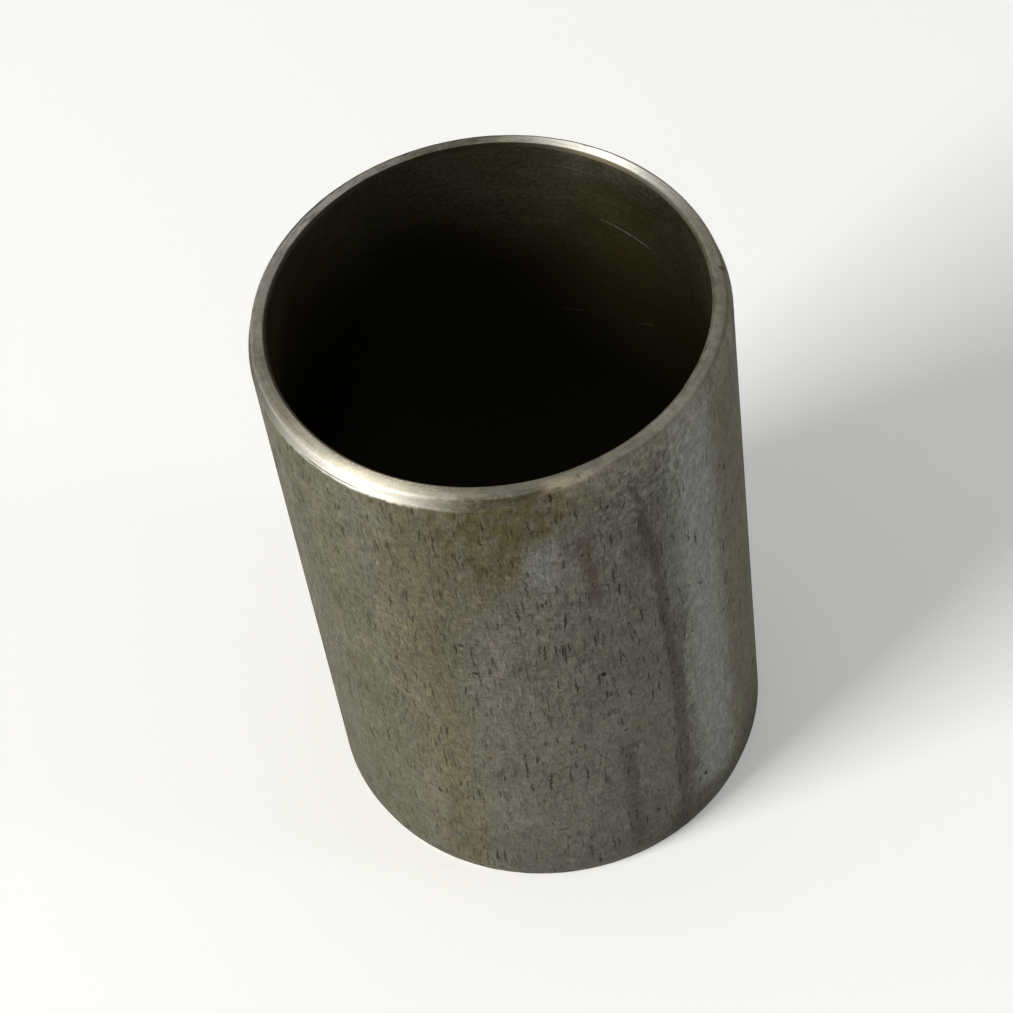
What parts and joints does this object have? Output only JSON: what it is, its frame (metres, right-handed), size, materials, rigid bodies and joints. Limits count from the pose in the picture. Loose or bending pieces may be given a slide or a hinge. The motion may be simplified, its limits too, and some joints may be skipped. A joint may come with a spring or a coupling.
{
  "type": "bushing",
  "caption": "Plain thin-walled steel bushing: a straight turned sleeve with a tapered lead-in and a tumbled shoulder outside at each end and a deburred bore.",
  "frame": {"origin": "centre of the bore on the lower end face, the face that the sleeve stands on", "axes": "+Z along the bore axis, from the lower end face to the upper one; X and Y lie in the end face"},
  "size_m": [0.06, 0.06, 0.0865],
  "materials": {
    "steel": "dull olive-grey mill scale with fine pits outside, bright tumbled and turned end faces, dark bore with fine turning marks"
  },
  "bodies": {
    "root": {"bushing": "steel"}
  },
  "joints": []
}
